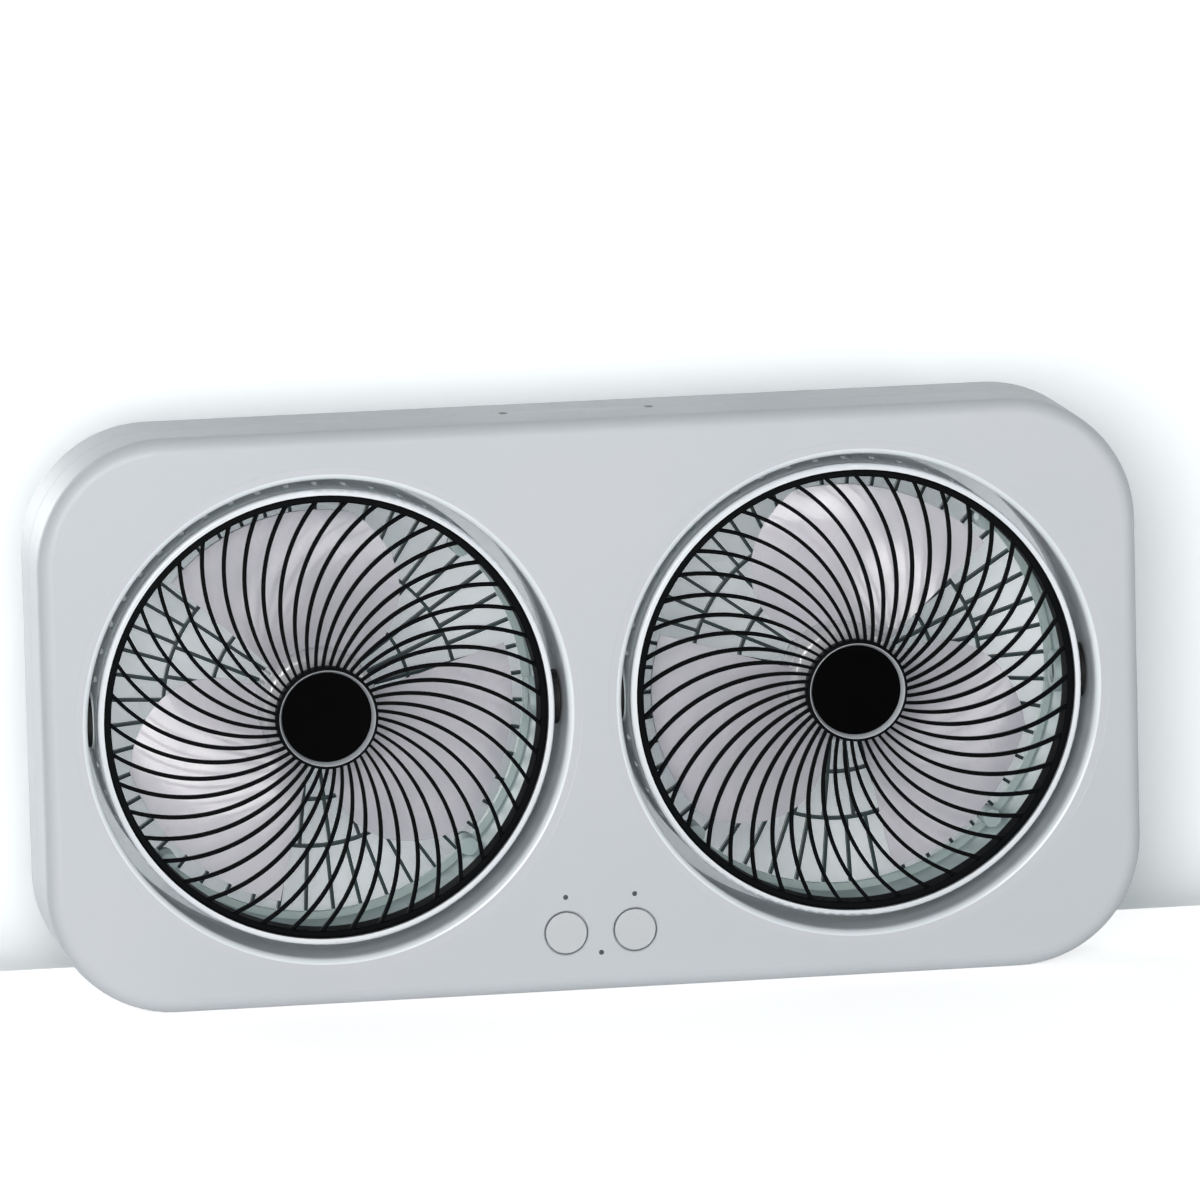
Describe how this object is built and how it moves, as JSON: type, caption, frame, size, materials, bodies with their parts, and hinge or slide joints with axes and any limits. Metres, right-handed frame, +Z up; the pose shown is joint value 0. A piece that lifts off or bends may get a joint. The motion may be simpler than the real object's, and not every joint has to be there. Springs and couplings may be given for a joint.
{
  "type": "rechargeable hanging fan",
  "caption": "Flat upright fan with twin round tilting fan heads side by side in a rounded slab housing, push buttons below them and a pull-out hanger bar on top.",
  "frame": {"origin": "middle of the housing's flat bottom edge, on the surface it stands on", "axes": "+Z up, -Y out of the fan's face towards the user, +X to the right seen from the front"},
  "size_m": [0.365, 0.05, 0.19],
  "materials": {
    "housing": "satin moulded ABS, cool pale grey",
    "drum": "satin moulded ABS, pale grey-green",
    "trim": "bright silver-white painted ring",
    "grille": "semi-gloss black moulding",
    "hub_cap": "gloss black disc, bare",
    "bezel": "thin bright ring",
    "blade": "glossy pale lavender-grey moulding",
    "steel": "plated steel",
    "dark_steel": "sintered magnet and laminated core",
    "copper": "varnished copper winding on a laminated core",
    "bronze": "oil-filled bronze",
    "rubber": "soft black rubber",
    "pin_plastic": "black acetal",
    "white_plastic": "white acetal",
    "cell_sleeve": "printed sleeve over a steel can, weight as the real cell",
    "board": "solder mask",
    "light": "smoked light guide"
  },
  "bodies": {
    "housing": {"front_shell": "housing", "rear_shell": "housing", "shell_screws": "steel", "left_pivot_pins": "pin_plastic", "right_pivot_pins": "pin_plastic", "hanger_guides": "white_plastic", "battery_cell_front": "cell_sleeve", "battery_cell_rear": "cell_sleeve", "battery_holder": "pin_plastic", "battery_contacts": "steel", "control_board": "board", "board_screws": "steel", "tact_switches": "pin_plastic", "indicator_lights": "light", "charge_board": "board", "charge_socket": "steel"},
    "hanger": {"hanger_bar": "housing", "hanger_legs": "steel", "hanger_stops": "steel"},
    "left_button": {"left_button": "housing", "left_plunger": "white_plastic"},
    "right_button": {"right_button": "housing", "right_plunger": "white_plastic"},
    "left_head": {"left_drum": "drum", "left_trim_ring": "trim", "left_front_grille": "grille", "left_hub_bezel": "bezel", "left_hub_cap": "hub_cap", "left_rear_grille": "grille", "left_grille_screws": "steel", "left_pivot_washers": "rubber", "left_motor_case": "steel", "left_motor_magnets": "dark_steel", "left_motor_bearings": "bronze", "left_motor_screws": "steel"},
    "left_rotor": {"left_motor_shaft": "steel", "left_motor_armature": "copper", "left_impeller": "blade", "left_impeller_nut": "bronze"},
    "right_head": {"right_drum": "drum", "right_trim_ring": "trim", "right_front_grille": "grille", "right_hub_bezel": "bezel", "right_hub_cap": "hub_cap", "right_rear_grille": "grille", "right_grille_screws": "steel", "right_pivot_washers": "rubber", "right_motor_case": "steel", "right_motor_magnets": "dark_steel", "right_motor_bearings": "bronze", "right_motor_screws": "steel"},
    "right_rotor": {"right_motor_shaft": "steel", "right_motor_armature": "copper", "right_impeller": "blade", "right_impeller_nut": "bronze"}
  },
  "joints": [
    {"name": "left_tilt", "type": "hinge", "parent": "housing", "child": "left_head", "pos_m": [-0.08825, 0, 0.095], "axis": [1, 0, 0], "range_deg": [-90, 90]},
    {"name": "left_spin", "type": "hinge", "parent": "left_head", "child": "left_rotor", "pos_m": [-0.08825, 0, 0.095], "axis": [0, 1, 0], "continuous": true},
    {"name": "right_tilt", "type": "hinge", "parent": "housing", "child": "right_head", "pos_m": [0.08825, 0, 0.095], "axis": [1, 0, 0], "range_deg": [-90, 90]},
    {"name": "right_spin", "type": "hinge", "parent": "right_head", "child": "right_rotor", "pos_m": [0.08825, 0, 0.095], "axis": [0, 1, 0], "continuous": true},
    {"name": "left_press", "type": "slide", "parent": "housing", "child": "left_button", "axis": [0, 1, 0], "range_m": [0, 0.0008], "stiffness_N_per_m": 900},
    {"name": "right_press", "type": "slide", "parent": "housing", "child": "right_button", "axis": [0, 1, 0], "range_m": [0, 0.0008], "stiffness_N_per_m": 900},
    {"name": "hanger_pull", "type": "slide", "parent": "housing", "child": "hanger", "axis": [0, 0, 1], "range_m": [0, 0.023]}
  ]
}
